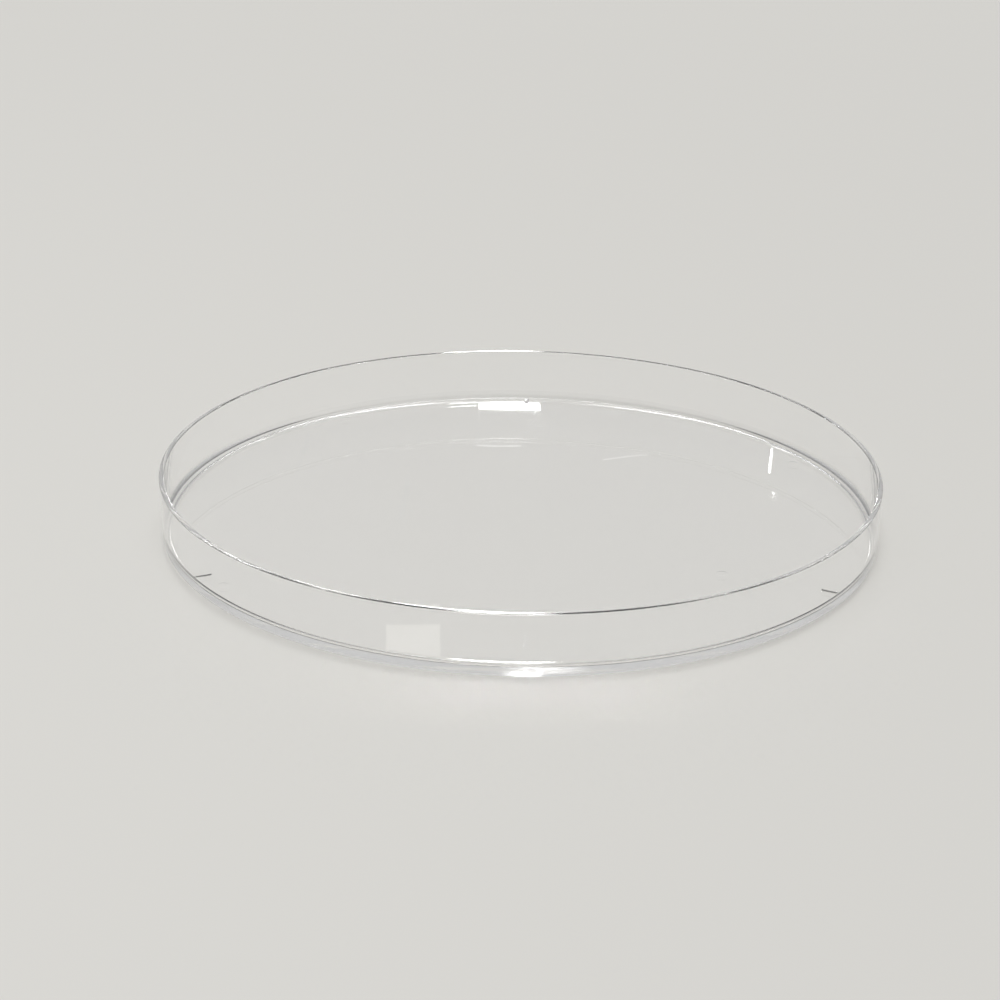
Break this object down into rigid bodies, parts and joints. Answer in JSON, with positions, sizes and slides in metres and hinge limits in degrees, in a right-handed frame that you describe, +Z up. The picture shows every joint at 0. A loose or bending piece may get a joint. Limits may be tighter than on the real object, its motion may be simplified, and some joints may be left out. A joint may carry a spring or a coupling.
{
  "type": "shallow dish",
  "caption": "Shallow round clear plastic dish with a flat floor, rounded corner, thin upright wall and small vent ribs; holds samples or covers a matching dish.",
  "frame": {"origin": "centre of the underside, on the dish's round axis", "axes": "+Z up along the round axis, out of the open side; +Y through the first vent rib"},
  "size_m": [0.09, 0.09, 0.0077],
  "materials": {
    "clear_polystyrene": "clear, colourless, glossy moulded polystyrene"
  },
  "bodies": {
    "root": {"floor_plate": "clear_polystyrene", "corner_ring": "clear_polystyrene", "side_wall": "clear_polystyrene", "rim_lip": "clear_polystyrene", "vent_rib_1": "clear_polystyrene", "vent_rib_2": "clear_polystyrene", "vent_rib_3": "clear_polystyrene"}
  },
  "joints": []
}
